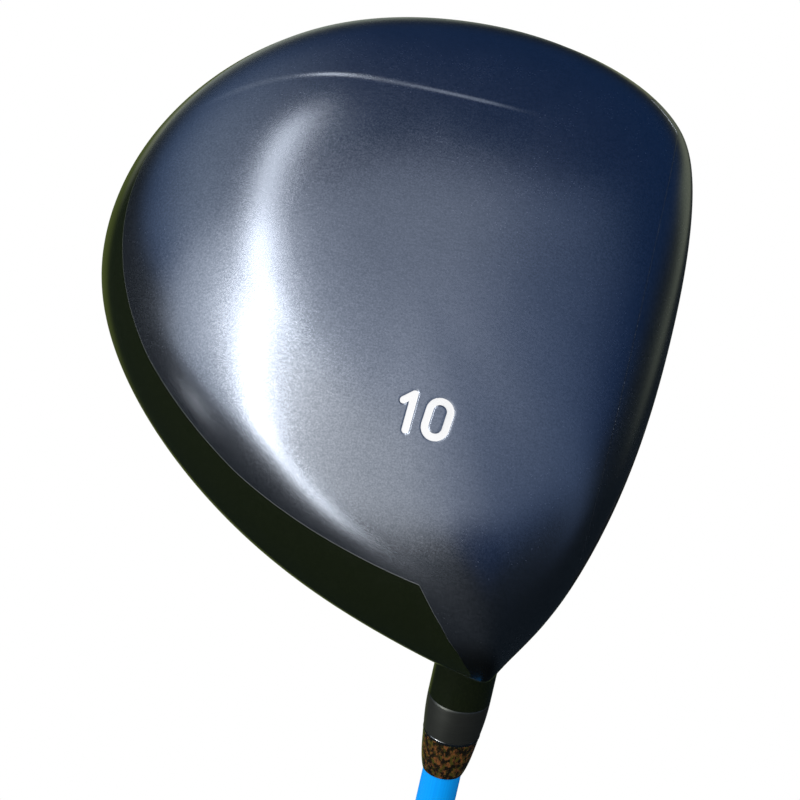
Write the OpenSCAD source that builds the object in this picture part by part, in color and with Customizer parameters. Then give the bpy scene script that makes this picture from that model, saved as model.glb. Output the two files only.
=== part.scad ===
// Golf swing trainer: a hollow driver-type head bonded to a long, very flexible shaft
// with a round rubber grip. The club stands head up. The shaft axis is the Z axis and
// the butt of the grip rests at z = 0. Sizes are in millimetres.

/* [Club] */
// Butt face to the point where the shaft axis meets the ground at address
club_length = 1118; // [900:1:1220]
// Angle between the shaft and the ground at address, degrees
lie = 56; // [53:0.5:60]

/* [Head] */
// Leading edge to the back of the skirt
head_depth = 112; // [104:1:120]
// Heel to toe
head_width = 134; // [126:1:142]
// Ground to the top of the crown
head_height = 62; // [58:1:66]
// Height of the widest line, where the skirt meets the crown
equator_height = 31; // [28:0.5:34]
// Rise of that line towards the heel, per millimetre
equator_rise = 0.05; // [0:0.01:0.1]
// Flatness of the sole: higher stays flat longer and turns up later
sole_flatness = 3.2; // [2.6:0.1:4]
// Fullness of the crown
crown_fullness = 2.3; // [2:0.1:2.8]
// Wall of the shells
wall = 1.6; // [1.2:0.1:2.2]
// Gap along each seam between two shells
seam = 0.1; // [0.05:0.05:0.3]
// Step from the sole plate in to the painted skirt
panel_step = 0.4; // [0.2:0.1:0.8]
// Height of the raised toe pad above the sole plate
toe_pad_height = 0.4; // [0:0.1:1]

/* [Face] */
// Loft, degrees
loft = 10; // [8:0.5:13]
// Bulge radius, heel to toe
bulge_radius = 180; // [160:10:300]
// Roll radius, sole to crown
roll_radius = 280; // [220:10:340]
// Wall of the striking face
face_wall = 3.2; // [2.4:0.2:4]
// Rounding of the leading and top edges
edge_round = 3; // [2:0.5:4]

/* [Hosel and ferrule] */
// Outside diameter of the hosel
hosel_d = 12.3; // [11.4:0.1:13]
// Diameter of the root where the hosel's fillet meets the crown
hosel_root_d = 18; // [17:0.5:20]
// Height of that fillet along the hosel
hosel_fillet = 10.5; // [8:0.5:11]
// Ground to the hosel's end, along the shaft
hosel_reach = 66; // [63:1:72]
// Depth of the shaft tip in the hosel
bond_depth = 30; // [26:1:34]
// Thickness of the glue round the tip
bond_gap = 0.15; // [0.1:0.05:0.25]
// Length of the grey collar
collar_length = 8; // [6:0.5:12]
// Diameter at the trim ring
ring_d = 11.2; // [10.4:0.1:11.6]
// Width of the trim ring
ring_width = 0.6; // [0.5:0.1:1.5]
// Length of the mottled tip
ferrule_tip_length = 8.8; // [5:0.1:10]
// Wall left at the ferrule's thin end
ferrule_lip = 0.2; // [0.2:0.05:0.6]
// Slip fit of the ferrule on the shaft, on the radius
ferrule_slip = 0.05; // [0.02:0.01:0.1]

/* [Shaft] */
// Diameter of the parallel tip
tip_d = 7.6; // [7:0.1:8]
// Diameter of the parallel butt
butt_d = 14; // [13:0.1:15]
// Length of the parallel tip section
tip_parallel = 130; // [100:5:180]
// Length of the parallel butt section beyond the grip
butt_past_grip = 30; // [10:5:60]
// Wall at the tip
tip_wall = 1.5; // [1.2:0.1:1.8]
// Wall at the butt
butt_wall = 1.2; // [1:0.1:1.6]
// Length of the brass pin in the tip
pin_length = 24; // [15:1:30]
// Slip fit of the pin in the shaft, on the radius
pin_slip = 0.05; // [0.02:0.01:0.1]

/* [Grip] */
// Butt face to mouth
grip_length = 268; // [250:1:285]
// Diameter at the butt
grip_butt_d = 26.4; // [25:0.2:28]
// Diameter at the mouth
grip_mouth_d = 17; // [16.4:0.1:18]
// Thickness of the butt cap
cap_thickness = 4.5; // [4:0.5:6]
// Diameter of the vent hole in the butt cap
vent_d = 3; // [2.4:0.1:3.6]
// Thickness of the tape wrap
tape = 0.3; // [0.2:0.05:0.4]
// Depth of the ring grooves
groove = 0.5; // [0.3:0.1:0.8]
// Pitch of the three ring grooves next to the butt cap
butt_groove_pitch = 3.8; // [3:0.2:5]
// Pitch of the three ring grooves next to the mouth
mouth_groove_pitch = 6; // [4:0.5:7]

/* [Ballast] */
// Diameter of the ballast disc
ballast_d = 26; // [20:1:30]
// Thickness of the ballast disc
ballast_h = 3.6; // [2:0.2:5]
// Width of the hot-melt bead round it
bead_w = 4; // [3:0.5:5]

/* [Hidden] */
$fn = 96;

// Sizes of the head that the control polygon below is drawn for
drawn_depth = 112;
drawn_width = 134;
drawn_height = 62;

// Control polygon of the plan outline: front is +X, heel is +Y, shaft axis at the origin
drawn_plan = [[27, -36], [29, -74], [4, -91], [-27, -94], [-61, -85], [-86, -57],
              [-91, -20], [-66, 12], [-32, 33], [7, 43], [4, 41], [25, 13]];
stretch = [head_depth / drawn_depth, head_width / drawn_width];
plan = [for (p = drawn_plan) [p.x * stretch.x, p.y * stretch.y]];
spans = len(plan);
// The same polygon with its corners softened
soft_plan = [for (i = [0:spans - 1])
    (plan[(i + spans - 1) % spans] + 2 * plan[i] + plan[(i + 1) % spans]) / 4];

// Plan centres that the sole and the crown are lofted about
sole_mid = [-30 * stretch.x, -28 * stretch.y];
crown_mid = [-20 * stretch.x, -28 * stretch.y];

// Face: reach of its surface, and the point where bulge and roll are centred
face_reach = 28.9 * stretch.x;
face_mid_y = -31 * stretch.y;
face_mid_z = 30 * head_height / drawn_height;
lead_height = 8 * head_height / drawn_height;

// Fraction of the way from the middle to the rim where the sole plate ends, by span:
// toe, back, corner of the heel notch, and the straight edge from there to the heel point
panel_line = [[2, 0.935], [6, 0.936], [6.6, 0.949], [7.4, 0.946], [8.65, 0.919],
              [8.75, 0.954], [8.86, 0.981], [9, 0.996], [9.1, 1]];
// Distance in front of the shaft axis of the face cup's seam, on the sole and on the crown
sole_seam_x = 17.5 * stretch.x;
crown_seam_x = 14 * stretch.x;

// Face cup: from heel to toe, in spans
cup_heel = 10.4;
cup_toe = 13.6;
// Heel point of the skirt, in spans
skirt_heel = 9.1;

// Toe pad: where its step crosses the sole, where that line starts to bend and by what
// radius, its ends and the length of its step
pad_y = -63.2 * stretch.y;
pad_bend_x = -44 * stretch.x;
pad_bend = 48;
pad_x = [-67 * stretch.x, -13 * stretch.x];
pad_fade = 8;
pad_step = 4;

// Mesh of the shells
cols_per_span = 10;
cols = spans * cols_per_span;
sole_rows = 10;
crown_rows = 9;
skirt_rows = 3;
cup_rows = 5;

// Stations along the shaft, measured from the ground point towards the grip
tip_s = hosel_reach - bond_depth;
pin_flange = 0.8;
bore_end_s = tip_s - pin_flange - 0.2;
hosel_foot_s = bore_end_s - 4;
root_s = (equator_height + 0.33 * (head_height - equator_height)) / sin(lie);
root_foot_s = root_s - 5;
root_taper = 4;
collar_end_s = hosel_reach + collar_length;
ring_end_s = collar_end_s + ring_width;
ferrule_end_s = ring_end_s + ferrule_tip_length;
ring_crown = ring_width / 12;

// Radii along the shaft
tip_r = tip_d / 2;
tip_bore_r = tip_r - tip_wall;
butt_r = butt_d / 2;
butt_bore_r = butt_r - butt_wall;
hosel_bore_r = tip_r + bond_gap;
ferrule_bore_r = tip_r + ferrule_slip;
lip_r = ferrule_bore_r + ferrule_lip;
grip_bore_r = butt_r + tape;
butt_parallel = grip_length + butt_past_grip;
cap_round = 0.8 * cap_thickness;

// Uniform cubic B-spline through the neighbourhood of span t
function spline(p, t) =
    let (n = len(p), i = floor(t), u = t - i, v = 1 - u)
    (pow(v, 3) * p[(i + n - 1) % n]
     + (3 * pow(u, 3) - 6 * u * u + 4) * p[i % n]
     + (3 * pow(v, 3) - 6 * v * v + 4) * p[(i + 1) % n]
     + pow(u, 3) * p[(i + 2) % n]) / 6;

function ramp(x, low, high) =
    let (u = min(1, max(0, (x - low) / (high - low))))
    u * u * (3 - 2 * u);

// Plan outline that the loft follows at fraction q of the way out: the heel point is
// sharp at the rim and softens inwards
function outline(t, q) =
    let (heel = ramp(t % spans, 7.5, 9) * (1 - ramp(t % spans, 10, 11.2)))
    spline(plan, t) + heel * (1 - pow(q, 6)) * (spline(soft_plan, t) - spline(plan, t));

// A point of the loft in plan, with the rim drawn in towards a middle by an inset
function in_plan(t, q, mid, inset) =
    let (v = outline(t, q) - mid)
    mid + q * v * (1 - inset / norm(v));

function equator(t) = equator_height + equator_rise * (spline(plan, t).y - sole_mid.y);

// The smaller of two values, rounded where they cross
function soft_min(a, b) = (a + b - sqrt(pow(a - b, 2) + pow(edge_round, 2))) / 2;

// Lofted face with bulge and roll
function face_x(y, z) =
    face_reach - (z - lead_height) * tan(loft)
    - pow(y - face_mid_y, 2) / (2 * bulge_radius)
    - pow(z - face_mid_z, 2) / (2 * roll_radius);

function behind_face(p, depth) = [soft_min(p.x, face_x(p.y, p.z) - depth), p.y, p.z];

// Proud pad at the toe end of the sole, fading out at both ends and at the rim
function toe_pad(x, y, q) =
    toe_pad_height
    * ramp(pad_y + pow(min(0, x - pad_bend_x), 2) / (2 * pad_bend) - y, -pad_step / 2, pad_step / 2)
    * (1 - ramp(q, 0.7, 0.92))
    * ramp(x, pad_x[0] - pad_fade, pad_x[0] + pad_fade)
    * (1 - ramp(x, pad_x[1] - pad_fade, pad_x[1] + pad_fade));

// Surfaces of the head: q runs from 0 in the middle to 1 at the rim
function sole_point(t, q, inset, depth) =
    let (p = in_plan(t, q, sole_mid, inset),
         rise = 1 - pow(1 - pow(q, sole_flatness), 1 / 1.9),
         z = inset + (equator(t) - inset) * rise - toe_pad(p.x, p.y, q))
    behind_face([p.x, p.y, z], depth);

function crown_point(t, q, inset, depth) =
    let (p = in_plan(t, q, crown_mid, inset),
         rise = pow(1 - pow(q, crown_fullness), 1 / 1.7),
         z = equator(t) + (head_height - inset - equator(t)) * rise)
    behind_face([p.x, p.y, z], depth);

// Fraction of the way from a middle to the rim where a plane across the head is met
function to_plane(t, mid, x) = (x - mid.x) / max(0.01, spline(plan, t).x - mid.x);

function panel_edge(t) =
    min(lookup(t % spans, panel_line), to_plane(t, sole_mid, sole_seam_x));

function crown_edge(t) = min(1, to_plane(t, crown_mid, crown_seam_x));

// Room left for the skirt: 1 along most of the plate's edge, 0 where that edge is the rim
function room(t) = min(1, 20 * (1 - panel_edge(t)));

// A gap along a seam, as a fraction of the way to the rim
function seam_q(t, mid) = seam / norm(spline(plan, t) - mid);

function sole_ring(j, inset) =
    [for (i = [0:cols - 1]) let (t = i / cols_per_span)
        sole_point(t, panel_edge(t) * sin(90 * j / sole_rows), inset, inset)
        - [0, 0, j == sole_rows && room(t) == 0 ? seam : 0]];

function crown_ring(j, inset) =
    [for (i = [0:cols - 1])
        let (t = i / cols_per_span,
             edge = crown_edge(t) - (crown_edge(t) < 1 ? seam_q(t, crown_mid) : 0))
        crown_point(t, edge * sin(90 * j / crown_rows), inset, inset) + [0, 0, seam]];

function skirt_row(j, inset) =
    [for (i = [cup_toe * cols_per_span - cols:skirt_heel * cols_per_span])
        let (t = i / cols_per_span + (i == cup_toe * cols_per_span - cols ? seam / 10 : 0),
             start = asin(panel_edge(t) + room(t) * seam_q(t, sole_mid)),
             step = room(t) * panel_step * (1 - j / skirt_rows))
        sole_point(t, sin(start + (90 - start) * j / skirt_rows), inset + step, inset + step)];

function cup_low_row(j, inset, depth) =
    [for (i = [cup_heel * cols_per_span:cup_toe * cols_per_span])
        let (t = i / cols_per_span,
             start = asin(panel_edge(t) + room(t) * seam_q(t, sole_mid)))
        sole_point(t, sin(start + (90 - start) * j / cup_rows), inset, depth)];

function cup_high_row(j, inset, depth) =
    [for (i = [cup_heel * cols_per_span:cup_toe * cols_per_span])
        let (t = i / cols_per_span, end = asin(crown_edge(t)))
        crown_point(t, sin(90 - (90 - end) * j / (2 * cup_rows)), inset, depth)];

function flat(rows) = [for (row = rows) each row];
function back_to_front(rows) = [for (k = [len(rows) - 1:-1:0]) rows[k]];
function two(a, b, c, d) = [[a, b, c], [a, c, d]];

// Solid lofted through closed rings, closed by a point at each end
module ring_solid(first, rings, last) {
    n = len(rings[0]);
    m = len(rings);
    polyhedron(
        points = concat([first], flat(rings), [last]),
        faces = concat(
            [for (i = [0:n - 1]) [0, 1 + (i + 1) % n, 1 + i]],
            [for (j = [0:m - 2], i = [0:n - 1])
                let (k = (i + 1) % n, a = 1 + j * n)
                each two(a + i, a + k, a + n + k, a + n + i)],
            [for (i = [0:n - 1])
                let (a = 1 + (m - 1) * n)
                [a + i, a + (i + 1) % n, m * n + 1]]));
}

// Solid between an outer and an inner grid of points
module patch_solid(outer, inner) {
    n = len(outer[0]);
    m = len(outer);
    w = n * m;
    polyhedron(
        points = concat(flat(outer), flat(inner)),
        faces = concat(
            [for (j = [0:m - 2], i = [0:n - 2])
                let (a = j * n + i)
                each concat(two(a, a + 1, a + n + 1, a + n),
                            two(w + a, w + a + n, w + a + n + 1, w + a + 1))],
            [for (i = [0:n - 2])
                let (b = (m - 1) * n + i)
                each concat(two(i, w + i, w + i + 1, i + 1),
                            two(b, b + 1, w + b + 1, w + b))],
            [for (j = [0:m - 2])
                let (a = j * n, b = j * n + n - 1)
                each concat(two(a, a + n, w + a + n, w + a),
                            two(b, w + b, w + b + n, b + n))]));
}

// Outline of the hosel's root, swollen by a clearance, with its fillet up to the neck
function root_profile(clear) =
    concat([[hosel_d / 2 + clear, root_foot_s - root_taper], [hosel_root_d / 2 + clear, root_foot_s]],
           [for (a = [0:15:90])
               [hosel_root_d / 2 + clear - (hosel_root_d - hosel_d) / 2 * sin(a),
                root_s + hosel_fillet * (1 - cos(a))]]);

// Places drawn in the head's own frame, with the sole on the ground and the heel at +Y
module at_head() {
    translate([0, 0, club_length]) rotate([-(90 + lie), 0, 0]) children();
}

// Places drawn along the shaft, from the ground point towards the grip
module at_axis() {
    translate([0, 0, club_length]) mirror([0, 0, 1]) children();
}

module sole_plate() {
    color([0.33, 0.36, 0.42])
    at_head()
    ring_solid([sole_mid.x, sole_mid.y, 0],
               concat([for (j = [1:sole_rows]) sole_ring(j, 0)],
                      back_to_front([for (j = [1:sole_rows]) sole_ring(j, wall)])),
               [sole_mid.x, sole_mid.y, wall]);
}

module skirt_shell() {
    color([0.03, 0.03, 0.03])
    at_head()
    patch_solid([for (j = [0:skirt_rows]) skirt_row(j, 0)],
                [for (j = [0:skirt_rows]) skirt_row(j, wall)]);
}

module crown_shell() {
    color([0.02, 0.02, 0.025])
    difference() {
        at_head()
        ring_solid([crown_mid.x, crown_mid.y, head_height - wall + seam],
                   concat([for (j = [1:crown_rows]) crown_ring(j, wall)],
                          back_to_front([for (j = [1:crown_rows]) crown_ring(j, 0)])),
                   [crown_mid.x, crown_mid.y, head_height + seam]);
        at_axis()
        rotate_extrude()
        polygon(concat([[0, root_foot_s - root_taper]], root_profile(seam),
                       [[0, root_s + hosel_fillet]]));
    }
}

module face_cup() {
    color([0.5, 0.5, 0.52])
    at_head()
    patch_solid(
        concat([for (j = [0:cup_rows]) cup_low_row(j, 0, 0)],
               [for (j = [1:2 * cup_rows]) cup_high_row(j, 0, 0)]),
        concat([for (j = [0:cup_rows]) cup_low_row(j, wall, face_wall)],
               [for (j = [1:2 * cup_rows]) cup_high_row(j, wall, face_wall)]));
}

module hosel_tube() {
    color([0.02, 0.02, 0.02])
    at_axis()
    rotate_extrude()
    polygon(concat([[0, hosel_foot_s], [hosel_d / 2, hosel_foot_s]],
                   root_profile(0),
                   [[hosel_d / 2, hosel_reach], [hosel_bore_r, hosel_reach],
                    [hosel_bore_r, bore_end_s], [0, bore_end_s]]));
}

module ballast_disc() {
    color([0.45, 0.45, 0.47])
    at_head()
    translate([sole_mid.x, sole_mid.y, wall + 0.25])
    cylinder(d = ballast_d, h = ballast_h);
}

module damping_bead() {
    color([0.75, 0.62, 0.35])
    at_head()
    translate([sole_mid.x, sole_mid.y, wall + 0.6])
    rotate_extrude()
    translate([ballast_d / 2, 0])
    polygon([[0.05, 0], [bead_w, 0], [bead_w * 0.8, ballast_h * 0.4],
             [bead_w * 0.4, ballast_h * 0.75], [0.05, ballast_h * 0.85]]);
}

module shaft() {
    color([0, 0.5, 1])
    rotate_extrude()
    polygon([[butt_bore_r, cap_thickness], [butt_r, cap_thickness], [butt_r, butt_parallel],
             [tip_r, club_length - tip_s - tip_parallel], [tip_r, club_length - tip_s],
             [tip_bore_r, club_length - tip_s],
             [tip_bore_r, club_length - tip_s - tip_parallel], [butt_bore_r, butt_parallel]]);
}

module tip_pin() {
    color([0.75, 0.6, 0.25])
    at_axis()
    rotate_extrude()
    polygon([[0, tip_s - pin_flange], [tip_r - 0.2, tip_s - pin_flange], [tip_r - 0.2, tip_s],
             [tip_bore_r - pin_slip, tip_s], [tip_bore_r - pin_slip, tip_s + pin_length - 1],
             [tip_bore_r - pin_slip - 1, tip_s + pin_length], [0, tip_s + pin_length]]);
}

module bond_line() {
    color([0.8, 0.75, 0.6])
    at_axis()
    translate([0, 0, tip_s])
    difference() {
        cylinder(r = hosel_bore_r, h = bond_depth);
        translate([0, 0, -1]) cylinder(r = tip_r, h = bond_depth + 2);
    }
}

module ferrule_collar() {
    color([0.12, 0.12, 0.13])
    at_axis()
    rotate_extrude()
    polygon(concat([[ferrule_bore_r, hosel_reach]],
                   [for (u = [0:0.125:1])
                       [hosel_d / 2 - (hosel_d - ring_d) / 2 * u * u, hosel_reach + collar_length * u]],
                   [[ferrule_bore_r, collar_end_s]]));
}

module ferrule_ring() {
    color([0.85, 0.85, 0.85])
    at_axis()
    rotate_extrude()
    polygon([[ferrule_bore_r, collar_end_s], [ring_d / 2, collar_end_s],
             [ring_d / 2 + ring_crown, collar_end_s + ring_width * 0.35],
             [ring_d / 2 - ring_crown, ring_end_s], [ferrule_bore_r, ring_end_s]]);
}

module ferrule_tip() {
    color([0.35, 0.25, 0.1])
    at_axis()
    rotate_extrude()
    polygon(concat([[ferrule_bore_r, ring_end_s]],
                   [for (u = [0:0.1:1])
                       [ring_d / 2 - ring_crown
                        - (ring_d / 2 - ring_crown - lip_r) * (0.65 * u + 0.35 * pow(u, 4)),
                        ring_end_s + ferrule_tip_length * u]],
                   [[ferrule_bore_r, ferrule_end_s]]));
}

module grip_tape() {
    color([0.9, 0.88, 0.8])
    translate([0, 0, cap_thickness])
    difference() {
        cylinder(r = grip_bore_r, h = grip_length - cap_thickness);
        translate([0, 0, -1]) cylinder(r = butt_r, h = grip_length);
    }
}

// Grip radius along its length, full at the butt and nearly straight towards the mouth
function grip_r(z) =
    let (u = (z - cap_thickness) / (grip_length - cap_thickness))
    grip_mouth_d / 2 + (grip_butt_d - grip_mouth_d) / 2 * pow(1 - u, 1.25);

// One ring groove in the grip's profile, from its butt side to its mouth side
function ring_groove(z) =
    [[grip_r(z), z], [grip_r(z + 0.6) - groove, z + 0.6],
     [grip_r(z + 1.4) - groove, z + 1.4], [grip_r(z + 2), z + 2]];

module grip_sleeve() {
    body = [cap_thickness + 1 + 3 * butt_groove_pitch, grip_length - 5 * mouth_groove_pitch];
    color([0.06, 0.06, 0.065])
    rotate_extrude()
    polygon(concat(
        [[grip_bore_r, cap_thickness]],
        [for (k = [0:2]) each ring_groove(cap_thickness + 1 + k * butt_groove_pitch)],
        [for (k = [0:11]) let (z = body[0] + (body[1] - body[0]) * k / 11) [grip_r(z), z]],
        [for (k = [1:3]) each ring_groove(body[1] + k * mouth_groove_pitch)],
        [[grip_r(grip_length - 2), grip_length - 2],
         [grip_r(grip_length) - 0.8, grip_length - 0.4],
         [grip_r(grip_length) - 1.2, grip_length],
         [grip_bore_r, grip_length]]));
}

module grip_cap() {
    color([0.05, 0.05, 0.05])
    rotate_extrude()
    polygon(concat([[vent_d / 2, 0]],
                   [for (a = [0:15:90])
                       [grip_butt_d / 2 - cap_round * (1 - sin(a)), cap_round * (1 - cos(a))]],
                   [[grip_butt_d / 2, cap_thickness], [vent_d / 2, cap_thickness]]));
}

sole_plate();
skirt_shell();
crown_shell();
face_cup();
hosel_tube();
ballast_disc();
damping_bead();
shaft();
tip_pin();
bond_line();
ferrule_collar();
ferrule_ring();
ferrule_tip();
grip_tape();
grip_sleeve();
grip_cap();
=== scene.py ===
import math

import bmesh
import bpy
import numpy as np
from mathutils import Matrix, Quaternion, Vector


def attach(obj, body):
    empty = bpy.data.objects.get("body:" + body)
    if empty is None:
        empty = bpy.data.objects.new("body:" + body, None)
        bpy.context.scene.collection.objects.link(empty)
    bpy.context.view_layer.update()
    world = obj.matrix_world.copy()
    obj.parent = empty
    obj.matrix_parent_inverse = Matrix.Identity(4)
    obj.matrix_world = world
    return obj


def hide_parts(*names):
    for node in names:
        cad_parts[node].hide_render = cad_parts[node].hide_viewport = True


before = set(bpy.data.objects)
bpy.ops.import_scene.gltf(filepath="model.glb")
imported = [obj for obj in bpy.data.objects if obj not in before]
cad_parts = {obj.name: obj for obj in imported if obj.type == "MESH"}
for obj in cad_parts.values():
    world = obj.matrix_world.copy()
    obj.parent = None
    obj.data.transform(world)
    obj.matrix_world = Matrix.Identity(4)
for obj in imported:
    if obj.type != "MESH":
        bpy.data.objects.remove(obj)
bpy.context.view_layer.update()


# Sole plate: the panel that closes the underside of the head. It is pressed from aluminium sheet,
# coated dark gunmetal over a fine brushed grain, and welded in along its cut edge, whose colour is
# lightened as rubbed metal and as a painted highlight. Its heel point is darkened as painted shade.
CLUB = 1118.0
LIE = math.radians(56)
LOFT = math.radians(10)
PLAN = np.array([[27, -36], [29, -74], [4, -91], [-27, -94], [-61, -85], [-86, -57],
                 [-91, -20], [-66, 12], [-32, 33], [7, 43], [4, 41], [25, 13]], float)
SOFT_PLAN = (np.roll(PLAN, 1, 0) + 2 * PLAN + np.roll(PLAN, -1, 0)) / 4
SPANS = len(PLAN)
SOLE_MID = np.array([-30.0, -28.0])
SOLE_FLATNESS, SOLE_TURN = 3.2, 1.9
RIM_HEIGHT, RIM_SLOPE = 31.0, 0.05
FACE_X, FACE_FOOT = 28.9, 8.0
BULGE_MID, BULGE_R = -31.0, 180.0
ROLL_MID, ROLL_R = 30.0, 280.0
EDGE_BLEND = 3.0
SOLE_SEAM_X = 17.5
CUP_START, CUP_END = 10.4, 1.6
PANEL_SPANS = [2, 6, 6.6, 7.4, 8.65, 8.75, 8.86, 9, 9.1]
PANEL_SHARES = [0.935, 0.936, 0.949, 0.946, 0.919, 0.954, 0.981, 0.996, 1]
WALL = 1.6
SEAM = 0.1
LIP, LIP_THIN = 0.3, 0.02
LIP_SHARE = 0.003
FLAT_SHARE = 0.8
PAD_HEIGHT = 0.2
PAD_STEP = 1.3
PAD_LINE, PAD_BEND, PAD_BEND_X = -63.2, 0.0105, -44.0
PAD_BACK, PAD_FRONT, PAD_RIM = (-80, -66), (-22, -4), (0.78, 0.95)
ONE_TOP, ONE_FOOT, ONE_FLAG = (-20.85, 1.67), (-21.1, 8.55), (-22.7, 3.2)
ZERO_HIGH, ZERO_LOW, ZERO_R = (-15.5, 3.95), (-15.75, 6.9), 2.0
PEN_R = 0.75
STAMP_DEPTH = 0.15


def spline(polygon, t):
    """Closed uniform cubic B-spline in the plane, one span of t for each corner of its polygon."""
    span = np.floor(t).astype(int)
    u = (t - span)[..., None]
    v = 1 - u
    near = [polygon[(span + k) % SPANS] for k in (-1, 0, 1, 2)]
    return (v**3 * near[0] + (3 * u**3 - 6 * u**2 + 4) * near[1]
            + (3 * v**3 - 6 * v**2 + 4) * near[2] + u**3 * near[3]) / 6


def ramp(x, low, high):
    """Smooth step from 0 at low to 1 at high: three squares less two cubes of the share of the way."""
    u = np.clip((x - low) / (high - low), 0, 1)
    return u * u * (3 - 2 * u)


def outline(t, q=1.0):
    """Plan outline of the head in mm. Its heel point is sharp at the rim, where q is 1, and softens inwards
    by the sixth power of q."""
    heel = ramp(t % SPANS, 7.5, 9) * (1 - ramp(t % SPANS, 10, 11.2)) * (1 - q**6)
    return spline(PLAN, t) + heel[..., None] * (spline(SOFT_PLAN, t) - spline(PLAN, t))


def in_plan(t, q, mid, inset):
    """A point at share q of the way from a middle to the outline, which is drawn in by an inset."""
    spoke = outline(t, q) - mid
    spoke = spoke * (1 - np.asarray(inset)[..., None] / np.linalg.norm(spoke, axis=-1, keepdims=True))
    return np.moveaxis(mid + q[..., None] * spoke, -1, 0)


def behind_face(x, y, z, depth):
    """Holds x behind the lofted face: a plane leaning back by the loft, less a bulge and a roll parabola,
    met by a smooth minimum that rounds the leading edge."""
    plane = FACE_X - (z - FACE_FOOT) * math.tan(LOFT)
    face = plane - (y - BULGE_MID)**2 / (2 * BULGE_R) - (z - ROLL_MID)**2 / (2 * ROLL_R) - depth
    return (x + face - np.sqrt((x - face)**2 + EDGE_BLEND**2)) / 2


def widest(t):
    """Height of the widest line of the head, rising slightly towards the heel."""
    return RIM_HEIGHT + RIM_SLOPE * (outline(t)[..., 1] - SOLE_MID[1])


def sole_surface(t, q, inset=0.0, depth=0.0):
    """Underside of the head: from its middle to the outline as q goes from 0 to 1, flat at first and then
    turning up as one less a power of one less a power of q. At the toe a pad stands proud along a curved
    step that fades out at its ends. Inset and depth make the inner wall."""
    x, y = in_plan(t, q, SOLE_MID, inset)
    rise = 1 - (1 - np.clip(q, 0, 1)**SOLE_FLATNESS) ** (1 / SOLE_TURN)
    line = PAD_LINE + PAD_BEND * np.minimum(0, x - PAD_BEND_X)**2
    step = ramp(line - y, -PAD_STEP / 2, PAD_STEP / 2) * (1 - ramp(q, *PAD_RIM))
    pad = PAD_HEIGHT * step * ramp(x, *PAD_BACK) * (1 - ramp(x, *PAD_FRONT))
    z = inset + (widest(t) - inset) * rise - pad
    return np.stack([behind_face(x, y, z, depth), y, z], -1)


def to_club(head):
    """From the head's axes, front, heel and up in mm, to the club's in metres: a turn by the lie about the
    front axis, then a shift to the head end of the shaft."""
    x, y, z = np.moveaxis(head, -1, 0)
    return 0.001 * np.stack([x, math.cos(LIE) * z - math.sin(LIE) * y,
                             CLUB - math.cos(LIE) * y - math.sin(LIE) * z], -1)


def to_plane(t, mid, x):
    """Share of the way from a middle to the outline at which a plane across the head is met."""
    return (x - mid[0]) / np.maximum(0.01, outline(t)[..., 0] - mid[0])


def panel_edge(t):
    """Share of the way to the outline at which the plate ends: a line by span, cut by the face's seam."""
    return np.minimum(np.interp(t % SPANS, PANEL_SPANS, PANEL_SHARES), to_plane(t, SOLE_MID, SOLE_SEAM_X))


def room(edge):
    """Share of a gap or step that is left at the plate's edge: all of it, closing in the last twentieth of
    the way to the rim."""
    return np.minimum(1, 20 * (1 - edge))


def seam_angle(t, gap):
    """Where the next piece starts past the plate, as the angle whose sine is the share of the way out."""
    edge = panel_edge(t)
    return np.arcsin(edge + room(edge) * gap / np.linalg.norm(outline(t) - SOLE_MID, axis=-1))


def away(spot, start, end):
    """Distance from spots to the straight line between two points: the way from the first point, less the
    part of it that lies along the line."""
    run = np.subtract(end, start)
    share = np.clip((spot - start) @ run / (run @ run), 0, 1)
    return np.linalg.norm(spot - start - share[..., None] * run, axis=-1)


def stamped(spot):
    """Depth of the loft stamp: full along the pen's path, which is two strokes and a long ring, with a ramp
    at its edge."""
    one = np.minimum(away(spot, ONE_TOP, ONE_FLAG), away(spot, ONE_TOP, ONE_FOOT))
    pen = np.minimum(one, np.abs(away(spot, ZERO_HIGH, ZERO_LOW) - ZERO_R))
    return STAMP_DEPTH * (1 - ramp(pen, PEN_R - 0.1, PEN_R + 0.2))


def skin(name, grid, u, v, around=True, loop=False, caps=False):
    """Mesh over a grid of points, a quad for each cell. The columns close round, the rows close into a loop,
    or the end columns are capped. Coincident points, as at a pole, are merged."""
    rows, cols = grid.shape[:2]
    index = np.arange(rows * cols).reshape(rows, cols)
    ends = [index[:, 0].tolist(), index[::-1, -1].tolist()] if caps else []
    if around:
        index = np.column_stack([index, index[:, :1]])
    if loop:
        index = np.vstack([index, index[:1]])
    place = np.stack(np.meshgrid(u, v), -1)
    cell = [np.s_[:-1, :-1], np.s_[:-1, 1:], np.s_[1:, 1:], np.s_[1:, :-1]]
    quads = np.stack([index[c] for c in cell], -1).reshape(-1, 4)
    spots = np.stack([place[c] for c in cell], 2).reshape(-1, 2)
    spots = np.vstack([spots, np.zeros((sum(map(len, ends)), 2))])
    mesh = bpy.data.meshes.new(name)
    mesh.from_pydata(grid.reshape(-1, 3), [], quads.tolist() + ends)
    mesh.uv_layers.new(name="wrap").data.foreach_set("uv", spots.ravel())
    welded = bmesh.new()
    welded.from_mesh(mesh)
    bmesh.ops.remove_doubles(welded, verts=welded.verts, dist=1e-7)
    bmesh.ops.recalc_face_normals(welded, faces=welded.faces)
    welded.to_mesh(mesh)
    welded.free()
    mesh.shade_smooth()
    mesh.set_sharp_from_angle(angle=math.radians(38))
    made = bpy.data.objects.new(name, mesh)
    bpy.context.scene.collection.objects.link(made)
    return made


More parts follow.
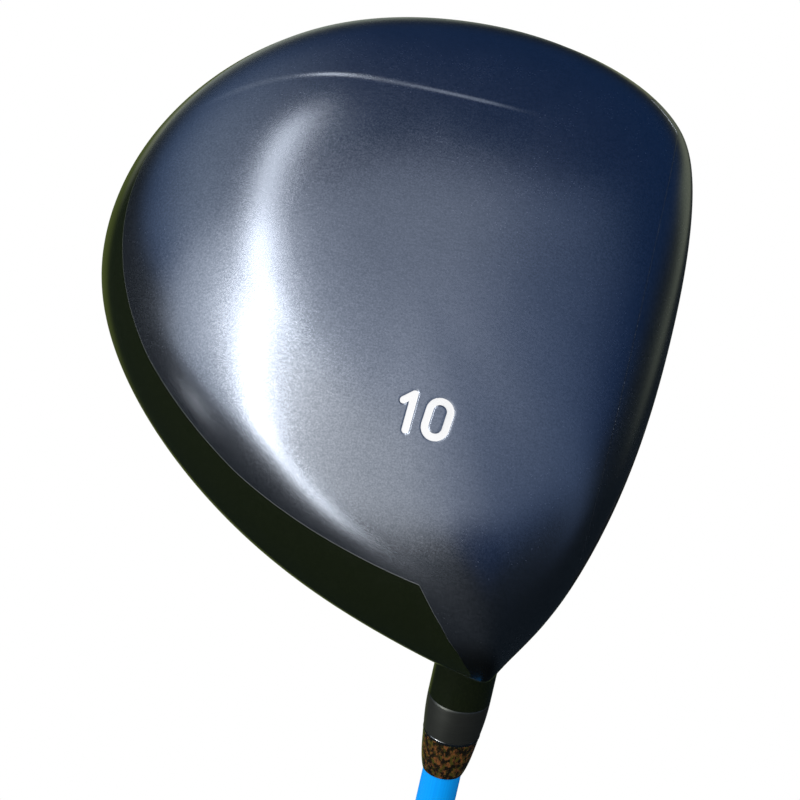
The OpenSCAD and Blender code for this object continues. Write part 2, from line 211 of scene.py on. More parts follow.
class Wire:
    """An output of a shader node. Sums of wires add Math nodes, and node() adds a node of any other type."""

    def __init__(self, tree, socket=None):
        self.tree, self.socket = tree, socket

    def node(self, kind, settings=None, values=None, out=0):
        """New node of that type: its settings first, then its sockets by name or number, linked or set."""
        made = self.tree.nodes.new("ShaderNode" + kind)
        for name, setting in (settings or {}).items():
            setattr(made, name, setting)
        for name, value in (values or {}).items():
            if isinstance(value, Wire):
                self.tree.links.new(value.socket, made.inputs[name])
            else:
                made.inputs[name].default_value = value
        return Wire(self.tree, made.outputs[out] if made.outputs else None)

    def math(self, operation, a, b=0.0, clamp=False):
        return self.node("Math", {"operation": operation, "use_clamp": clamp}, {0: a, 1: b})

    def __add__(self, other):
        return self.math("ADD", self, other)

    __radd__ = __add__

    def __sub__(self, other):
        return self.math("SUBTRACT", self, other)

    def __rsub__(self, other):
        return self.math("SUBTRACT", other, self)

    def __mul__(self, other):
        return self.math("MULTIPLY", self, other)

    __rmul__ = __mul__

    def held(self):
        """The value held between 0 and 1."""
        return self.math("ADD", self, 0.0, True)

    def step(self, low, high):
        """Smooth step of the value, from 0 at low to 1 at high."""
        return self.node("MapRange", {"interpolation_type": "SMOOTHSTEP"},
                         {"Value": self, "From Min": low, "From Max": high})

    def mix(self, a, b):
        """Colour a where the value is 0 and colour b where it is 1."""
        a, b = (c if isinstance(c, Wire) else (*c, 1) for c in (a, b))
        return self.node("Mix", {"data_type": "RGBA"}, {0: self, 6: a, 7: b}, 2)

    def noise(self, stretch, detail=2.0, rough=0.5):
        """Noise over a place, with that many cells to a metre along each axis."""
        place = self.node("Mapping", None, {"Vector": self, "Scale": stretch})
        values = {"Vector": place, "Scale": 1.0, "Detail": detail, "Roughness": rough}
        return place.node("TexNoise", None, values)

    def bump(self, depth, strength=1.0):
        """Bump of that depth by the value."""
        return self.node("Bump", None, {"Height": self, "Distance": depth, "Strength": strength})

    def along(self, *axis):
        """How far a place lies along an axis."""
        return self.node("VectorMath", {"operation": "DOT_PRODUCT"}, {0: self, 1: axis}, "Value")


def finish(name, paint):
    """New material. Paint is given the piece's own place and gives the shader."""
    made = bpy.data.materials.new(name)
    made.use_nodes = True
    made.node_tree.nodes.clear()
    start = Wire(made.node_tree)
    start.node("OutputMaterial", None, {"Surface": paint(start.node("TexCoord", None, None, "Object"))})
    return made


def in_head(at):
    """A place in the head's axes, front, heel and up in mm: the shift and turn to the club undone."""
    sine, cosine = math.sin(LIE), math.cos(LIE)
    return (at.along(1000, 0, 0), at.along(0, -1000 * sine, -1000 * cosine) + CLUB * cosine,
            at.along(0, 1000 * cosine, -1000 * sine) + CLUB * sine)


def gunmetal(at):
    """Blue-grey coat, as values for a shader: long brushed grain, fine speckle and soft clouds."""
    brushed = at.noise((500, 2600, 2600), 3.0)
    speckle = at.noise((2900, 2900, 2900), 2.0)
    clouds = at.noise((45, 45, 45), 2.0)
    tone = (0.2 * brushed + 0.6 * speckle + 0.2 * clouds).step(0.3, 0.7)
    return {"Base Color": tone.mix((0.27, 0.3, 0.345), (0.41, 0.44, 0.5)), "Metallic": 1.0,
            "Roughness": 0.21 + 0.05 * tone + 0.03 * clouds,
            "Normal": (0.3 * brushed + 0.7 * speckle).bump(0.00002, 0.3)}


def stroke(spot, start, end):
    """Distance in mm from a spot to the straight line between two points: the way from the first point, less
    the part of it that lies along the line."""
    run = np.subtract(end, start)
    way = spot.node("VectorMath", {"operation": "SUBTRACT"}, {0: spot, 1: (*start, 0)})
    share = (way.along(*run, 0) * (1 / run.dot(run))).held()
    near = way.node("VectorMath", {"operation": "SCALE"}, {0: (*run, 0), "Scale": share})
    rest = way.node("VectorMath", {"operation": "SUBTRACT"}, {0: way, 1: near})
    return rest.node("VectorMath", {"operation": "LENGTH"}, {0: rest}, "Value")


def sole_finish(at):
    """Gunmetal with its edge lightened, as rubbed metal and as a painted highlight, and its heel point
    darkened as painted shade. The loft in degrees is stamped in and painted white."""
    coat = gunmetal(at)
    front, heel, _ = in_head(at)
    # Painted highlight along the rim, together with rubbed bare metal: the plate's last rows are made lighter
    # and less metallic, except at the face.
    edge = at.node("UVMap", {"uv_map": "wrap"}).along(0, 1, 0).step(0.984, 0.998) * (1 - front.step(-2, 3))
    # Painted shade: the heel point, where it runs into the neck, is darkened to near black.
    tint = heel.step(37.5, 41).mix(coat["Base Color"], (0.09, 0.095, 0.09))
    spot = at.node("CombineXYZ", None, {0: front, 1: heel})
    flag = stroke(spot, ONE_TOP, ONE_FLAG)
    one = flag.math("MINIMUM", flag, stroke(spot, ONE_TOP, ONE_FOOT))
    ring = stroke(spot, ZERO_HIGH, ZERO_LOW) - ZERO_R
    zero = ring.math("ABSOLUTE", ring)
    pen = one.math("MINIMUM", one, zero)
    paint = 1 - pen.step(PEN_R - 0.1, PEN_R)
    return at.node("BsdfPrincipled", None, {
        "Base Color": paint.mix(edge.mix(tint, (0.5, 0.52, 0.52)), (0.9, 0.9, 0.9)),
        "Metallic": (1 - paint) * (1 - 0.7 * edge), "Roughness": coat["Roughness"] + 0.1 * paint,
        "Normal": coat["Normal"]})


columns = np.concatenate([np.linspace(0, 8.1, 251)[:-1], np.linspace(8.1, 9.2, 141)[:-1],
                          np.linspace(9.2, SPANS, 81)[:-1]])
shares = np.concatenate([np.linspace(0, 0.38, 10)[:-1], np.linspace(0.38, 0.57, 66)[:-1],
                         np.linspace(0.57, FLAT_SHARE, 52)])
edge = panel_edge(columns)
reach = edge - FLAT_SHARE - LIP_SHARE * room(edge)
rows_out = np.vstack([np.repeat(shares[:, None], len(columns), 1),
                      FLAT_SHARE + reach * np.sin(np.linspace(0, np.pi / 2, 38))[1:, None]])
outer = sole_surface(np.broadcast_to(columns, rows_out.shape), rows_out)
outer[..., 2] += stamped(outer[..., :2])
rows_in = edge * np.sin(np.linspace(np.pi / 2, 0, 14))[:, None]
inner = sole_surface(np.broadcast_to(columns, rows_in.shape), rows_in, WALL, WALL)
lip = sole_surface(columns, edge)
along = lip - outer[-1]
turn = np.linspace(0, np.pi / 2, 7)[1:, None, None]
down = inner[0] - lip
down = down / np.linalg.norm(down, axis=-1, keepdims=True)
down = down * np.where((columns > CUP_END) & (columns < CUP_START), LIP, LIP_THIN)[:, None]
rounded = outer[-1] + along * np.sin(turn) + down * (1 - np.cos(turn))
grid = to_club(np.vstack([outer, rounded, inner]))
wrap = np.concatenate([np.linspace(0, 0.985, len(outer)), np.linspace(0.99, 1, len(rounded)),
                       np.linspace(1.2, 2, len(inner))])
sole = skin("sole_panel", grid, np.append(columns, SPANS) / SPANS, wrap)
sole.data.materials.append(finish("gunmetal_satin", sole_finish))
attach(sole, "root")
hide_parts("sole_plate")


# Ballast: a cast iron disc glued inside on the sole, and the hot-melt bead round it. Neither shows
# outside the closed head, so the modelled solids stay and only take their finishes.
def cast_iron(at):
    """Iron as cast: a dull, rough metal grain."""
    grain = at.noise((900, 900, 900), 3.0)
    return at.node("BsdfPrincipled", None, {
        "Base Color": grain.mix((0.3, 0.3, 0.31), (0.46, 0.46, 0.47)), "Metallic": 1.0,
        "Roughness": 0.32 + 0.2 * grain, "Normal": grain.bump(0.00003)})


def hot_melt(at):
    """Amber glue, cloudy and slightly wavy."""
    cloud = at.noise((260, 260, 260), 3.0)
    return at.node("BsdfPrincipled", None, {
        "Base Color": cloud.mix((0.62, 0.45, 0.2), (0.8, 0.68, 0.42)), "Roughness": 0.25 + 0.2 * cloud,
        "Normal": cloud.bump(0.0002)})


for name, paint in (("ballast_disc", cast_iron), ("damping_bead", hot_melt)):
    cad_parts[name].data.materials.clear()
    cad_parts[name].data.materials.append(finish(paint.__name__, paint))


# Skirt: the band between the sole plate and the widest line, an aluminium shell lacquered gloss black.
# It lies a little below the plate's edge and runs out flush at the widest line.
PANEL_STEP = 0.4


def black_lacquer(at):
    """Black gloss lacquer under a clear coat, with faint orange peel and a breath of olive in the colour."""
    peel = at.noise((420, 420, 420), 1.0)
    dust = at.noise((3200, 3200, 3200), 1.0)
    return at.node("BsdfPrincipled", None, {
        "Base Color": dust.step(0.35, 0.8).mix((0.005, 0.008, 0.002), (0.01, 0.014, 0.005)),
        "Roughness": 0.16 + 0.08 * peel, "Coat Weight": 0.5, "Coat Roughness": 0.04,
        "Normal": peel.bump(0.00003, 0.5)})


lacquer = finish("black_lacquer", black_lacquer)


def skirt_surface(t, share, inset):
    """The sole's surface from the plate's edge, at share 0, to the widest line, at share 1, set in by a
    step that grows from nothing in the first span past the face cup."""
    start = seam_angle(t, SEAM)
    step = inset + room(panel_edge(t)) * PANEL_STEP * ramp(t, CUP_END, CUP_END + 1) * (1 - share)
    return sole_surface(t, np.sin(start + (np.pi / 2 - start) * share), step, step)


columns = np.concatenate([np.linspace(CUP_END + 0.01, 8.6, 340, endpoint=False), np.linspace(8.6, 9.1, 80)])
share_out, share_in = np.linspace(0, 1, 26)[:, None], np.linspace(1, 0, 10)[:, None]
grid = np.vstack([skirt_surface(*np.broadcast_arrays(columns, share_out), 0.0),
                  skirt_surface(*np.broadcast_arrays(columns, share_in), WALL)])
skirt = skin("skirt_band", to_club(grid), columns / SPANS, np.linspace(0, 1, 37), False, True, True)
skirt.data.materials.append(lacquer)
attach(skirt, "root")
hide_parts("skirt_shell")


# Face cup: the striking face with its rolled leading and top edges, forged from aluminium in one piece and
# welded to the sole and the crown behind the edge. Its return under the sole is finished as the plate is.
CROWN_MID = np.array([-20.0, -28.0])
FACE_WALL = 3.2
FLUSH_SEAM = 0.03
HEAD_HEIGHT = 62.0
CROWN_FULLNESS, CROWN_TURN = 2.3, 1.7
CROWN_SEAM_X = 14.0
SCORE_DEPTH, SCORE_PITCH = 0.3, 5.0
SCORE_IN, SCORE_OUT = 11.0, 40.0
SCORE_LOW, SCORE_HIGH = 21.0, 46.0


def crown_surface(t, q, inset=0.0, depth=0.0):
    """Top of the head: from its middle to the outline as q goes from 0 to 1, falling as a power of one less
    a power of q."""
    x, y = in_plan(t, q, CROWN_MID, inset)
    fall = (1 - np.clip(q, 0, 1)**CROWN_FULLNESS) ** (1 / CROWN_TURN)
    z = widest(t) + (HEAD_HEIGHT - inset - widest(t)) * fall
    return np.stack([behind_face(x, y, z, depth), y, z], -1)


def crown_edge(t):
    """Share of the way to the outline at which the crown ends at the face's seam."""
    return np.minimum(1, to_plane(t, CROWN_MID, CROWN_SEAM_X))


def cup_wall(t, low, high, inset, depth):
    """Front of the head in columns: the sole's surface from its seam to the widest line, then the crown's."""
    start = seam_angle(t, FLUSH_SEAM)
    end = np.arcsin(crown_edge(t))
    below = np.sin(start + (np.pi / 2 - start) * low)
    above = np.sin(np.pi / 2 - (np.pi / 2 - end) * high)
    return np.vstack([sole_surface(np.broadcast_to(t, below.shape), below, inset, depth),
                      crown_surface(np.broadcast_to(t, above.shape), above, inset, depth)])


def face_finish(at):
    """Gunmetal where the cup turns under the head. Past the rounded leading edge, by the distance behind the
    face's own surface, and on top it is blasted black, with bare metal in the score lines."""
    front, heel, up = in_head(at)
    out, rolled = heel - BULGE_MID, up - ROLL_MID
    plane = FACE_X - math.tan(LOFT) * (up - FACE_FOOT)
    behind = plane - out * out * (0.5 / BULGE_R) - rolled * rolled * (0.5 / ROLL_R) - front
    wide = out.math("ABSOLUTE", out)
    zone = wide.step(SCORE_IN, SCORE_IN + 0.6) * (1 - wide.step(SCORE_OUT, SCORE_OUT + 0.6))
    zone = zone * up.step(SCORE_LOW, SCORE_LOW + 0.5) * (1 - up.step(SCORE_HIGH, SCORE_HIGH + 0.5))
    wave = up * (2 * math.pi / SCORE_PITCH)
    groove = wave.math("COSINE", wave).step(0.86, 0.97) * zone
    blast = at.noise((2400, 2400, 2400), 2.0)
    metal = at.node("BsdfPrincipled", None, gunmetal(at))
    black = at.node("BsdfPrincipled", None, {
        "Base Color": groove.mix(blast.mix((0.012, 0.012, 0.012), (0.028, 0.029, 0.03)), (0.25, 0.25, 0.25)),
        "Metallic": 0.4, "Roughness": 0.36 + 0.14 * blast,
        "Normal": blast.bump(0.000025, 0.6)})
    return at.node("MixShader", None, {0: behind.step(1.5, 2.1) * (1 - up.step(28, 31)), 1: black, 2: metal})


def scored(heel, up):
    """Depth of the score lines: crests of a cosine of the height, kept to a zone on each side."""
    out = np.abs(heel - BULGE_MID)
    zone = ramp(out, SCORE_IN, SCORE_IN + 1) * (1 - ramp(out, SCORE_OUT, SCORE_OUT + 1))
    zone = zone * ramp(up, SCORE_LOW, SCORE_LOW + 0.5) * (1 - ramp(up, SCORE_HIGH, SCORE_HIGH + 0.5))
    return SCORE_DEPTH * zone * ramp(np.cos(2 * np.pi * up / SCORE_PITCH), 0.83, 0.97)


columns = np.linspace(CUP_START, SPANS + CUP_END, 200)
below, above = np.linspace(0, 1, 60)[:, None], np.linspace(0, 1, 150)[1:, None]
below_in, above_in = np.linspace(0, 1, 8)[:, None], np.linspace(0, 1, 14)[1:, None]
grid = np.vstack([cup_wall(columns, below, above, 0.0, 0.0),
                  cup_wall(columns, below_in, above_in, WALL, FACE_WALL)[::-1]])
outside = len(below) + len(above)
grid[:outside, :, 0] -= scored(grid[:outside, :, 1], grid[:outside, :, 2])
face = skin("face_front", to_club(grid), columns / SPANS, np.linspace(0, 1, len(grid) + 1), False, True, True)
face.data.materials.append(finish("face_cup_finish", face_finish))
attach(face, "root")
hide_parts("face_cup")


# Crown: the domed top of the head, a thin aluminium shell lacquered black as the skirt is. It meets the
# skirt at the widest line and the face at its top seam.
columns = np.linspace(0, SPANS, 601)[:-1]
edge = crown_edge(columns)
edge = edge - np.where(edge < 1, SEAM / np.linalg.norm(outline(columns) - CROWN_MID, axis=-1), 0)
rows_out = edge * np.sin(np.linspace(0, np.pi / 2, 60))[:, None]
rows_in = edge * np.sin(np.linspace(np.pi / 2, 0, 20))[:, None]
grid = np.vstack([crown_surface(np.broadcast_to(columns, rows_out.shape), rows_out),
                  crown_surface(np.broadcast_to(columns, rows_in.shape), rows_in, WALL, WALL)])
grid[..., 2] += SEAM
crown = skin("crown_dome", to_club(grid), np.append(columns, SPANS) / SPANS,
             np.concatenate([np.linspace(0, 1, 60), np.linspace(1.2, 2, 20)]))
crown.data.materials.append(lacquer)
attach(crown, "root")
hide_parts("crown_shell")


# Hosel: the neck that takes the shaft, turned from aluminium and blended into the crown by a fillet. It is
# lacquered with the head, and its end is faced square for the ferrule.
NECK_R, NECK_BORE_R = 6.15, 3.95
NECK_FOOT, NECK_BORE_END, NECK_END = 31.0, 35.0, 66.0
NECK_EDGE = 0.15
ROOT, ROOT_R = 49.73, 9.0
ROOT_SINK, ROOT_TAPER = 5.0, 4.0
FILLET = 10.5


def lathe(name, profile, sides=128, cut=None):
    """Turns a closed profile of radius and distance from the ground point, in mm, about the shaft. Cut gives
    a depth to take off by the angle and that distance."""
    angle = np.linspace(0, 2 * np.pi, sides + 1)
    r, s = np.array(profile, float).T[..., None]
    r = r - cut(angle[:-1], s) if cut else r
    grid = np.stack(np.broadcast_arrays(r * np.cos(angle[:-1]), r * np.sin(angle[:-1]), CLUB - s), -1)
    along = np.append(s[:, 0], s[0, 0]) * 0.001
    return skin(name, grid * 0.001, angle / (2 * np.pi), along, True, True)


quarter = np.linspace(0, np.pi / 2, 13)
fillet = [(ROOT_R - (ROOT_R - NECK_R) * math.sin(a), ROOT + FILLET * (1 - math.cos(a))) for a in quarter]
hosel = lathe("hosel_neck", [(0.0, NECK_FOOT), (NECK_R, NECK_FOOT), (NECK_R, ROOT - ROOT_SINK - ROOT_TAPER),
                             (ROOT_R, ROOT - ROOT_SINK), *fillet, (NECK_R, NECK_END - 2.5),
                             (NECK_R, NECK_END - NECK_EDGE), (NECK_R - NECK_EDGE, NECK_END),
                             (NECK_BORE_R, NECK_END), (NECK_BORE_R, NECK_BORE_END), (0.0, NECK_BORE_END)])
hosel.data.materials.append(lacquer)
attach(hosel, "root")
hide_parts("hosel_tube")


# Shaft: a long, very flexible tapered tube, moulded bright blue all through, with a silky surface.
# Its tip is bonded in the hosel and its butt carries the grip.
def blue_polymer(at):
    """Bright blue with a soft gloss: faint drawing lines along the tube and slight clouds."""
    drawn = at.noise((2600, 2600, 25), 2.0)
    clouds = at.noise((60, 60, 12), 2.0)
    return at.node("BsdfPrincipled", None, {
        "Base Color": (0.6 * drawn + 0.4 * clouds).step(0.3, 0.7).mix((0.0, 0.3, 0.92), (0.0, 0.36, 1.0)),
        "Roughness": 0.45 + 0.12 * drawn, "Specular IOR Level": 0.06,
        "Normal": drawn.bump(0.00002, 0.5)})


TIP, TIP_R, TIP_BORE_R = 36.0, 3.8, 2.3
TIP_EDGE = 0.2
BUTT_R, BUTT_BORE_R = 7.0, 5.8
TAPER_START, TAPER_END = TIP + 130, CLUB - 298
CAP = 4.5
taper = np.linspace(0, 1, 30)
shaft = lathe("shaft_tube", [(TIP_BORE_R, TIP), (TIP_R - TIP_EDGE, TIP), (TIP_R, TIP + TIP_EDGE),
                             *[(TIP_R, s) for s in np.linspace(TIP + 2, TAPER_START - 1, 12)],
                             *zip(TIP_R + (BUTT_R - TIP_R) * taper,
                                  TAPER_START + (TAPER_END - TAPER_START) * taper),
                             *[(BUTT_R, s) for s in np.linspace(TAPER_END + 2, CLUB - CAP, 12)],
                             (BUTT_BORE_R, CLUB - CAP), (BUTT_BORE_R, TAPER_END), (TIP_BORE_R, TAPER_START)],
              96)
shaft.data.materials.append(finish("blue_polymer", blue_polymer))
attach(shaft, "root")
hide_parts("shaft")


# Brass pin in the shaft's tip and the glue between the tip and the hosel. Both are inside the neck, so the
# modelled solids stay and only take their finishes.
def brass(at):
    """Turned brass with fine tool lines."""
    grain = at.noise((700, 700, 2600), 2.0)
    return at.node("BsdfPrincipled", None, {
        "Base Color": grain.mix((0.62, 0.45, 0.16), (0.78, 0.6, 0.26)), "Metallic": 1.0,
        "Roughness": 0.22 + 0.2 * grain, "Normal": grain.bump(0.00002)})


def epoxy(at):
    """Pale glue, slightly cloudy."""
    cloud = at.noise((500, 500, 500), 2.0)
    return at.node("BsdfPrincipled", None, {
        "Base Color": cloud.mix((0.6, 0.53, 0.36), (0.74, 0.68, 0.5)), "Roughness": 0.3 + 0.15 * cloud})


for name, paint in (("tip_pin", brass), ("bond_line", epoxy)):
    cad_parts[name].data.materials.clear()
    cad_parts[name].data.materials.append(finish(paint.__name__, paint))


# Ferrule: three turned pieces slipped on the shaft and glued against the hosel. A satin dark grey plastic
# collar, a thin bright aluminium ring, and a mottled brown and olive plastic tip that tapers to the shaft.
def grey_collar(at):
    """Satin dark grey plastic, filled with metal flake, with fine turning lines."""
    turned = at.noise((300, 300, 6000), 2.0)
    return at.node("BsdfPrincipled", None, {
        "Base Color": turned.mix((0.13, 0.137, 0.12), (0.18, 0.188, 0.168)), "Metallic": 0.95,
        "Roughness": 0.36 + 0.1 * turned, "Normal": turned.bump(0.00002, 0.6)})


def bright_trim(at):
    """Bright turned aluminium with faint rings."""
    turned = at.noise((200, 200, 7000), 2.0)
    return at.node("BsdfPrincipled", None, {
        "Base Color": turned.mix((0.3, 0.31, 0.31), (0.42, 0.43, 0.43)), "Metallic": 1.0,
        "Roughness": 0.12 + 0.1 * turned})


def tortoise(at):
    """Mottled plastic: flakes of amber, brown and olive in near black, under a polished surface."""
    flakes = at.noise((1150, 1150, 800), 3.0, 0.6)
    second = at.noise((1500, 1500, 900), 2.0, 0.6)
    tint = second.step(0.42, 0.6).mix((0.06, 0.052, 0.007), (0.17, 0.06, 0.016))
    return at.node("BsdfPrincipled", None, {
        "Base Color": flakes.step(0.42, 0.62).mix((0.008, 0.006, 0.003), tint),
        "Roughness": 0.16 + 0.1 * second, "Coat Weight": 0.6, "Coat Roughness": 0.06})


FERRULE_BORE_R = 3.85
COLLAR_END, COLLAR_TAPER = 74.0, 0.55
RING_END, RING_R = 74.6, 5.55
FERRULE_END, FERRULE_TAPER = 83.4, 1.5
share = np.linspace(0.02, 1, 24)
collar = lathe("ferrule_collar_band", [(FERRULE_BORE_R, NECK_END), (6.03, NECK_END),
                                       *zip(NECK_R - COLLAR_TAPER * share**2,
                                            NECK_END + (COLLAR_END - NECK_END) * share),
                                       (FERRULE_BORE_R, COLLAR_END)])
ring = lathe("ferrule_trim_ring", [(FERRULE_BORE_R, COLLAR_END), (5.6, COLLAR_END), (5.64, COLLAR_END + 0.1),
                                   (5.65, COLLAR_END + 0.21), (5.63, COLLAR_END + 0.35),
                                   (5.59, COLLAR_END + 0.5), (RING_R, RING_END), (FERRULE_BORE_R, RING_END)])
share = np.linspace(0, 1, 30)
tip = lathe("ferrule_tip_cone", [(FERRULE_BORE_R, RING_END),
                                 *zip(RING_R - FERRULE_TAPER * (0.65 * share + 0.35 * share**4),
                                      RING_END + (FERRULE_END - RING_END) * share),
                                 (FERRULE_BORE_R, FERRULE_END)])
for made, paint, node, slot in ((collar, grey_collar, "ferrule_collar", "grey_plastic"),
                                (ring, bright_trim, "ferrule_ring", "bright_trim"),
                                (tip, tortoise, "ferrule_tip", "mottled_plastic")):
    made.data.materials.append(finish(paint.__name__, paint))
    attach(made, "root")
    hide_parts(node)


# Grip: a tapered round rubber sleeve pulled over the taped shaft, and the cap moulded on its butt with a
# vent. The paper tape is hidden between the sleeve and the shaft.
GRIP_END, GRIP_MOUTH_R, GRIP_BUTT_R = 268.0, 8.5, 13.2
GRIP_SWELL = 1.25
SLEEVE_BORE_R = 7.3
GROOVE_WIDTH, GROOVE_DEPTH, GROOVE_SLOPE = 2.0, 0.5, 0.6
BUTT_GROOVE, BUTT_GROOVE_PITCH = 5.5, 3.8
HOLD_START, HOLD_END = 16.9, 238.0
MOUTH_GROOVE_PITCH = 6.0
HOLD_STARTS, HOLD_PITCH, HOLD_DEPTH = 10, 8.2, 0.35
HOLD_MOUTH, HOLD_BUTT = (885, 895), (1075, 1085)
VENT_R, VENT_EDGE = 1.5, 0.2
CAP_ROUND = 3.6


def paper_tape(at):
    """Creped paper tape."""
    crepe = at.noise((900, 900, 300), 3.0)
    return at.node("BsdfPrincipled", None, {
        "Base Color": crepe.mix((0.7, 0.66, 0.52), (0.82, 0.78, 0.66)), "Roughness": 0.75 + 0.1 * crepe})


def grip_rubber(at):
    """Black rubber with a fine pebble and a bloom of dust."""
    bloom = at.noise((180, 180, 60), 3.0)
    pebble = at.noise((2600, 2600, 2600), 2.0)
    return at.node("BsdfPrincipled", None, {
        "Base Color": bloom.mix((0.012, 0.012, 0.0125), (0.024, 0.024, 0.025)),
        "Roughness": 0.62 + 0.2 * pebble,
        "Normal": pebble.bump(0.0001, 0.7)})


def grip_radius(z):
    """Radius of the grip along its length: from the butt to the mouth by a power of the share still to go."""
    left = 1 - (np.asarray(z, float) - CAP) / (GRIP_END - CAP)
    return GRIP_MOUTH_R + (GRIP_BUTT_R - GRIP_MOUTH_R) * left**GRIP_SWELL


def ring_groove(z):
    """Four points of one ring groove in the grip's profile."""
    end = z + GROOVE_WIDTH
    floor_start, floor_end = z + GROOVE_SLOPE, end - GROOVE_SLOPE
    return [(grip_radius(z), z), (grip_radius(floor_start) - GROOVE_DEPTH, floor_start),
            (grip_radius(floor_end) - GROOVE_DEPTH, floor_end), (grip_radius(end), end)]


def hold_pattern(angle, s):
    """Depth of the crossing grooves along the hold: crests of the greater of two sines winding opposite
    ways."""
    about, wind = HOLD_STARTS * angle, 2 * np.pi * s / HOLD_PITCH
    crest = ramp(np.maximum(np.sin(about + wind), np.sin(about - wind)), 0.78, 1)
    return HOLD_DEPTH * crest * ramp(s, *HOLD_MOUTH) * (1 - ramp(s, *HOLD_BUTT))


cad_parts["grip_tape"].data.materials.clear()
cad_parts["grip_tape"].data.materials.append(finish("paper_tape", paper_tape))
profile = [(SLEEVE_BORE_R, CAP),
           *[p for k in range(3) for p in ring_groove(BUTT_GROOVE + BUTT_GROOVE_PITCH * k)],
           *[(grip_radius(z), z) for z in np.linspace(HOLD_START, HOLD_END, 460)],
           *[p for k in (1, 2, 3) for p in ring_groove(HOLD_END + MOUTH_GROOVE_PITCH * k)],
           (grip_radius(266.0), 266.0), (grip_radius(267.4) - 0.25, 267.0), (grip_radius(267.9) - 0.8, 267.6),
           (grip_radius(267.9) - 1.2, GRIP_END), (SLEEVE_BORE_R, GRIP_END)]
sleeve = lathe("grip_rubber_sleeve", [(r, CLUB - z) for r, z in profile], 180, hold_pattern)
corner = zip(GRIP_BUTT_R - CAP_ROUND * (1 - np.sin(quarter)), CLUB - CAP_ROUND * (1 - np.cos(quarter)))
cap = lathe("grip_butt_cap", [(VENT_R, CLUB - VENT_EDGE), (VENT_R + VENT_EDGE, CLUB), *corner,
                              (GRIP_BUTT_R, CLUB - CAP), (VENT_R, CLUB - CAP)])
rubber = finish("grip_rubber", grip_rubber)
for made, node in ((sleeve, "grip_sleeve"), (cap, "grip_cap")):
    made.data.materials.append(rubber)
    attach(made, "root")
    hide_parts(node)


# Floor: a pale round mat under the butt that fades into the white surround. It only takes the shadow, and
# the club's gloss doesn't mirror it.
FLOOR_R = 0.6
FLOOR_DROP = 0.0002


def pale_floor(at):
    """Matt near-white, mixed with clear by the distance from the middle."""
    far = at.node("VectorMath", {"operation": "LENGTH"}, {0: at}, "Value")
    grain = at.noise((30, 30, 30), 2.0)
    matt = at.node("BsdfDiffuse", None, {"Color": grain.mix((0.86, 0.86, 0.86), (0.9, 0.9, 0.9))})
    return at.node("MixShader", None, {0: far.step(0.2, 0.55), 1: matt, 2: at.node("BsdfTransparent")})


angle, radius = np.meshgrid(np.linspace(0, 2 * np.pi, 97)[:-1], np.linspace(0, FLOOR_R, 12))
disc = np.stack([radius * np.cos(angle), radius * np.sin(angle), 0 * radius - FLOOR_DROP], -1)
floor = skin("floor_mat", disc, np.linspace(0, 1, 97), np.linspace(0, 1, 12))
floor.data.materials.append(finish("pale_floor", pale_floor))
floor.visible_glossy = False


# Light: five soft boxes on the camera's left, a tall strip with shorter ones below it, above it, overhead and
# out to the side. The surround is plain white to the eye. In reflections it is pale and open on the left,
# dark blue above, and dim green low down behind the club.
HEAD = Vector((-0.03, 0.037, 1.113))
LAMP_AWAY = 1.4
GROUND_TURN = math.radians(32)


def soft_box(name, azimuth, elevation, lean, width, height, watts):
    """Area lamp facing the head, at an azimuth from the camera's side and an elevation, leaning in
    its own plane, all in degrees."""
    a, e = math.radians(azimuth), math.radians(elevation)
    back = Vector((math.sin(a) * math.cos(e), -math.cos(a) * math.cos(e), math.sin(e)))
    side = Vector((math.cos(a), math.sin(a), 0))
    side.rotate(Quaternion(back, math.radians(lean)))
    lamp = bpy.data.lights.new(name, "AREA")
    lamp.shape, lamp.size, lamp.size_y, lamp.energy = "RECTANGLE", width, height, watts
    made = bpy.data.objects.new(name, lamp)
    bpy.context.scene.collection.objects.link(made)
    turn = Matrix((side, back.cross(side), back)).transposed()
    made.matrix_world = Matrix.Translation(HEAD + LAMP_AWAY * back) @ turn.to_4x4()


soft_box("tall_strip", -45.5, 25, 0, 0.11, 1.69, 5.34)
soft_box("low_strip", -38.5, -13, 42, 0.1, 0.54, 1.1)
soft_box("bend_strip", -55, 60, 29, 0.11, 0.34, 0.9)
soft_box("high_strip", -92, 68, 0, 0.65, 0.12, 0.85)
soft_box("side_strip", -69, -23, -35, 0.05, 0.22, 0.08)

surround = bpy.data.worlds.new("surround")
bpy.context.scene.world = surround
surround.use_nodes = True
surround.node_tree.nodes.clear()
sky = Wire(surround.node_tree)
way = sky.node("TexCoord", None, None, "Generated")
height = way.along(0, 0, 1)
azimuth = way.math("ARCTAN2", way.along(1, 0, 0), way.along(0, -1, 0)) * (180 / math.pi)
ground = 1.9 * way.along(math.sin(GROUND_TURN), -math.cos(GROUND_TURN), 0) - 1.22
open_air = azimuth.step(-81, -62) * (height - ground).step(-0.05, 0.07) * height.step(-0.27, -0.12)
dark = height.step(0.0, 0.35).mix((0.006, 0.011, 0.016), (0.004, 0.03, 0.1))
left_sky = height.step(0.2, 0.85).mix((0.1, 0.16, 0.28), (0.34, 0.4, 0.5))
dark = (way.along(-1, 0, 0).step(0.2, 0.8) * height.step(-0.05, 0.35)).mix(dark, left_sky)
window = azimuth.step(-20, 90).mix((0.42, 0.46, 0.55), (0.1, 0.15, 0.26))
around = (open_air * (1 - azimuth.step(78, 104))).mix(dark, window)
glow = azimuth.step(-62, -36).mix((0.72, 0.78, 0.88), (1, 1, 1))
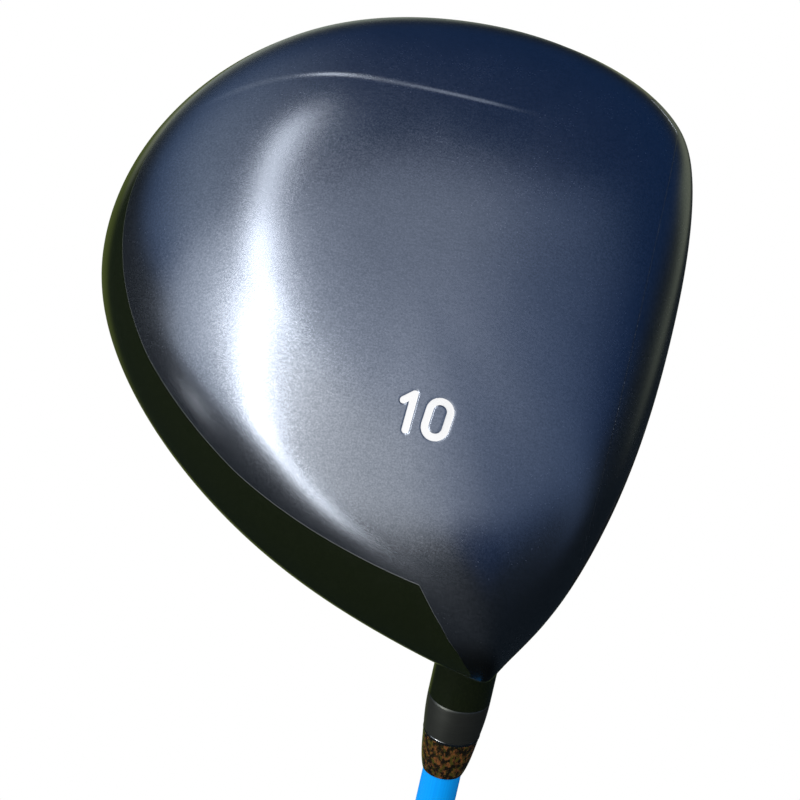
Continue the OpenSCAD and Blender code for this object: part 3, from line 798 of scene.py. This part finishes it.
around = (open_air * (1 - azimuth.step(-38, 2)) * (1 - height.step(0.6, 0.95))).mix(around, glow)
rear = azimuth.step(121, 135) * (1 - (height + 0.0065 * azimuth).step(0.94, 1.08))
around = (rear * height.step(-0.31, -0.19)).mix(around, (0.23, 0.245, 0.17))
far = height.step(-0.33, -0.1).mix((0.1, 0.13, 0.035), (0.62, 0.67, 0.55))
glossy = way.along(-0.25, 0.84, -0.48).step(0.86, 0.95).mix(around, far)
soft = way.along(-0.75, -0.55, 0.35).step(-0.9, 0.9).mix((0.25, 0.25, 0.27), (1, 1, 1))
to_eye, through, mirrored = (sky.node("LightPath", None, None, f"Is {ray} Ray")
                             for ray in ("Camera", "Transmission", "Glossy"))
shown = (to_eye + through).held().mix(mirrored.mix(soft, glossy), (1, 1, 1))
sky.node("OutputWorld", None, {"Surface": sky.node("Background", None, {"Color": shown})})
bpy.context.scene.view_settings.view_transform = "Standard"


# Camera: on the sole's side of the head and above it, looking down at the sole, with a long lens. It is
# rolled so that the toe leans to the right.
LOOK_DOWN = math.radians(30)
LOOK = Vector((0, math.cos(LOOK_DOWN), -math.sin(LOOK_DOWN)))
RISE = Vector((0, math.sin(LOOK_DOWN), math.cos(LOOK_DOWN)))
ACROSS = Vector((1, 0, 0))
ROLL = math.radians(13)
CAMERA_AWAY = 0.975
AIM_LEFT, AIM_LOW = 0.02391, 0.00404
lens = bpy.data.cameras.new("camera")
lens.lens, lens.sensor_width, lens.clip_start = 234, 36, 0.01
camera = bpy.data.objects.new("camera", lens)
bpy.context.scene.collection.objects.link(camera)
stand = Vector((0, 0, 0.001 * CLUB)) - CAMERA_AWAY * LOOK
forward = (LOOK - AIM_LEFT * ACROSS - AIM_LOW * RISE).normalized()
top = math.cos(ROLL) * RISE - math.sin(ROLL) * ACROSS
right = forward.cross(top).normalized()
turn = Matrix((right, right.cross(forward), -forward)).transposed()
camera.matrix_world = Matrix.Translation(stand) @ turn.to_4x4()
bpy.context.scene.camera = camera
